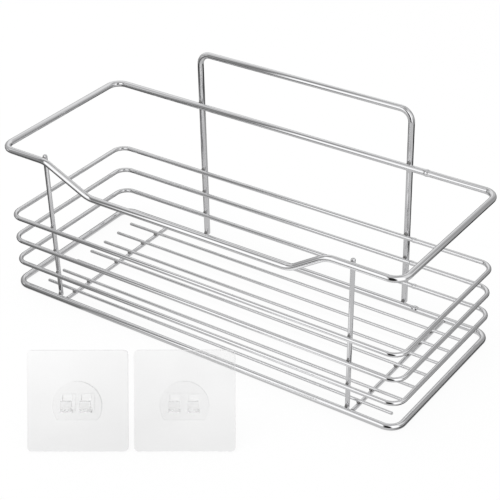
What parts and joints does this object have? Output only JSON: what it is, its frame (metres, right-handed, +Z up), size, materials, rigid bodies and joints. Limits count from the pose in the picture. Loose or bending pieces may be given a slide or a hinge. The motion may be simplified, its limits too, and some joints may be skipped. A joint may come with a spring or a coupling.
{
  "type": "hanging wire shower basket",
  "caption": "Rectangular polished wire basket with a dipped front rim and a hanger frame, and a pair of clear adhesive hook pads.",
  "frame": {"origin": "under the middle of the bottom ring's back wire, on the surface that the basket stands on", "axes": "+Z up, +X along the basket's length towards its right end seen from the front, +Y from the front towards the wall"},
  "size_m": [0.3244, 0.2758, 0.1561],
  "materials": {
    "thick_wire": "polished",
    "thin_wire": "polished",
    "adhesive_gel": "tacky clear",
    "clear_sheet": "clear satin",
    "clear_hook": "clear gloss"
  },
  "bodies": {
    "basket": {"top_rim": "thick_wire", "side_ring_upper": "thin_wire", "side_ring_middle": "thin_wire", "side_ring_lower": "thin_wire", "bottom_ring": "thick_wire", "hanger_frame": "thick_wire", "front_upright_left": "thin_wire", "front_upright_right": "thin_wire", "cross_wire_left": "thin_wire", "cross_wire_right": "thin_wire", "floor_wire_1": "thin_wire", "floor_wire_2": "thin_wire", "floor_wire_3": "thin_wire", "floor_wire_4": "thin_wire", "floor_wire_5": "thin_wire", "floor_wire_6": "thin_wire", "floor_wire_7": "thin_wire"},
    "pad_left": {"pad_left_adhesive": "adhesive_gel", "pad_left_sheet": "clear_sheet", "pad_left_hook_plate": "clear_hook"},
    "pad_right": {"pad_right_adhesive": "adhesive_gel", "pad_right_sheet": "clear_sheet", "pad_right_hook_plate": "clear_hook"}
  },
  "joints": [
    {"name": "pad_left_lift", "type": "slide", "parent": "basket", "child": "pad_left", "axis": [0, 0, 1], "range_m": [0, 0.16]},
    {"name": "pad_right_lift", "type": "slide", "parent": "basket", "child": "pad_right", "axis": [0, 0, 1], "range_m": [0, 0.16]}
  ]
}
